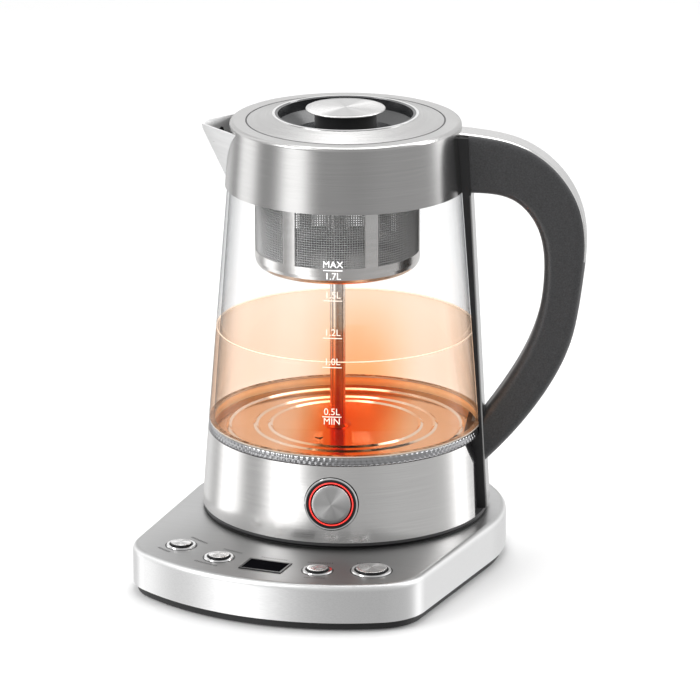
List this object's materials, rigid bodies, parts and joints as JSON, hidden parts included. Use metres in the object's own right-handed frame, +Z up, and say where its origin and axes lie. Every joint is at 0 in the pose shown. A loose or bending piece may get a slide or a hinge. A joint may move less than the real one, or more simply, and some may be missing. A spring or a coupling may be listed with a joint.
{
  "type": "automatic tea maker",
  "caption": "Glass electric tea kettle with a tea basket on a central rod, steel skirt, collar and lid, loop handle, on a temperature-control base with buttons and a display.",
  "frame": {"origin": "on the connector's axis, at the face the base stands on", "axes": "+Z up along the connector's axis; -Y towards the control panel; the kettle stands with its handle near +X"},
  "size_m": [0.2196, 0.233, 0.2546],
  "materials": {
    "brushed_steel": "fine brushed grain",
    "chrome": "polished",
    "black_plastic": "satin moulded",
    "rubber": "matte",
    "dark_window": "gloss",
    "circuit_board": "solder mask",
    "brass": "satin",
    "aluminium": "cast",
    "heater_tube": "heat tinted",
    "glass": "clear",
    "clear_ring": "clear, fluted",
    "red_light": "lit from behind"
  },
  "bodies": {
    "base": {"base_cover": "brushed_steel", "base_chassis": "black_plastic", "base_pan": "black_plastic", "base_screws": "brushed_steel", "base_feet": "rubber", "kettle_seat": "black_plastic", "connector_plug": "black_plastic", "connector_contacts": "brass", "display_window": "dark_window", "display_frame": "brushed_steel", "display_module": "black_plastic", "control_board": "circuit_board", "panel_switches": "black_plastic", "power_board": "circuit_board", "cord_gland": "rubber", "panel_bezels": "chrome"},
    "keep_warm_key": {"keep_warm_button": "brushed_steel"},
    "function_key": {"function_button": "brushed_steel"},
    "temperature_key": {"temperature_button": "brushed_steel"},
    "power_key": {"power_button": "brushed_steel"},
    "socket": {"connector_socket": "black_plastic"},
    "kettle": {"kettle_foot": "black_plastic", "foot_screws": "brushed_steel", "plate_liner": "black_plastic", "thermostat": "black_plastic", "heat_diffuser": "aluminium", "heating_element": "heater_tube", "temperature_sensor": "heater_tube", "floor_plate": "brushed_steel", "kettle_skirt": "brushed_steel", "light_ring": "clear_ring", "glass_jug": "glass", "glass_seals": "rubber", "collar": "brushed_steel", "mouth_ring": "black_plastic", "spout": "brushed_steel", "brew_light_ring": "red_light", "brew_surround": "black_plastic", "brew_bezel": "chrome", "brew_switch": "black_plastic", "handle_grip": "black_plastic", "handle_cover": "brushed_steel", "handle_rail": "black_plastic", "rail_strip": "brushed_steel", "skirt_panel": "black_plastic", "handle_bracket": "black_plastic", "lift_rod": "brushed_steel"},
    "brew_key": {"brew_button": "brushed_steel"},
    "lid": {"lid_ring": "brushed_steel", "lid_bezel": "chrome", "lid_recess": "black_plastic", "knob_stem": "black_plastic", "knob_cap": "brushed_steel", "lid_body": "black_plastic", "lid_gasket": "rubber", "lid_underside": "black_plastic"},
    "basket": {"basket_cup": "brushed_steel", "basket_mesh": "brushed_steel", "basket_sleeve": "brushed_steel"}
  },
  "joints": [
    {"name": "keep_warm_press", "type": "slide", "parent": "base", "child": "keep_warm_key", "axis": [0, 0, -1], "range_m": [0, 0.0012], "stiffness_N_per_m": 900, "springref_m": -0.0006},
    {"name": "function_press", "type": "slide", "parent": "base", "child": "function_key", "axis": [0, 0, -1], "range_m": [0, 0.0012], "stiffness_N_per_m": 900, "springref_m": -0.0006},
    {"name": "temperature_press", "type": "slide", "parent": "base", "child": "temperature_key", "axis": [0, 0, -1], "range_m": [0, 0.0012], "stiffness_N_per_m": 900, "springref_m": -0.0006},
    {"name": "power_press", "type": "slide", "parent": "base", "child": "power_key", "axis": [0, 0, -1], "range_m": [0, 0.0012], "stiffness_N_per_m": 900, "springref_m": -0.0006},
    {"name": "kettle_lift", "type": "slide", "parent": "base", "child": "socket", "axis": [0, 0, 1], "range_m": [0, 0.06]},
    {"name": "kettle_turn", "type": "hinge", "parent": "socket", "child": "kettle", "pos_m": [0, 0, 0.03], "axis": [0, 0, 1], "continuous": true},
    {"name": "brew_press", "type": "slide", "parent": "kettle", "child": "brew_key", "axis": [-0.2782, 0.9576, -0.0748], "range_m": [0, 0.0015], "stiffness_N_per_m": 900, "springref_m": -0.0006},
    {"name": "lid_lift", "type": "slide", "parent": "kettle", "child": "lid", "axis": [0, 0, 1], "range_m": [0, 0.105]},
    {"name": "basket_lower", "type": "slide", "parent": "kettle", "child": "basket", "axis": [0, 0, 1], "range_m": [-0.08, 0]}
  ]
}
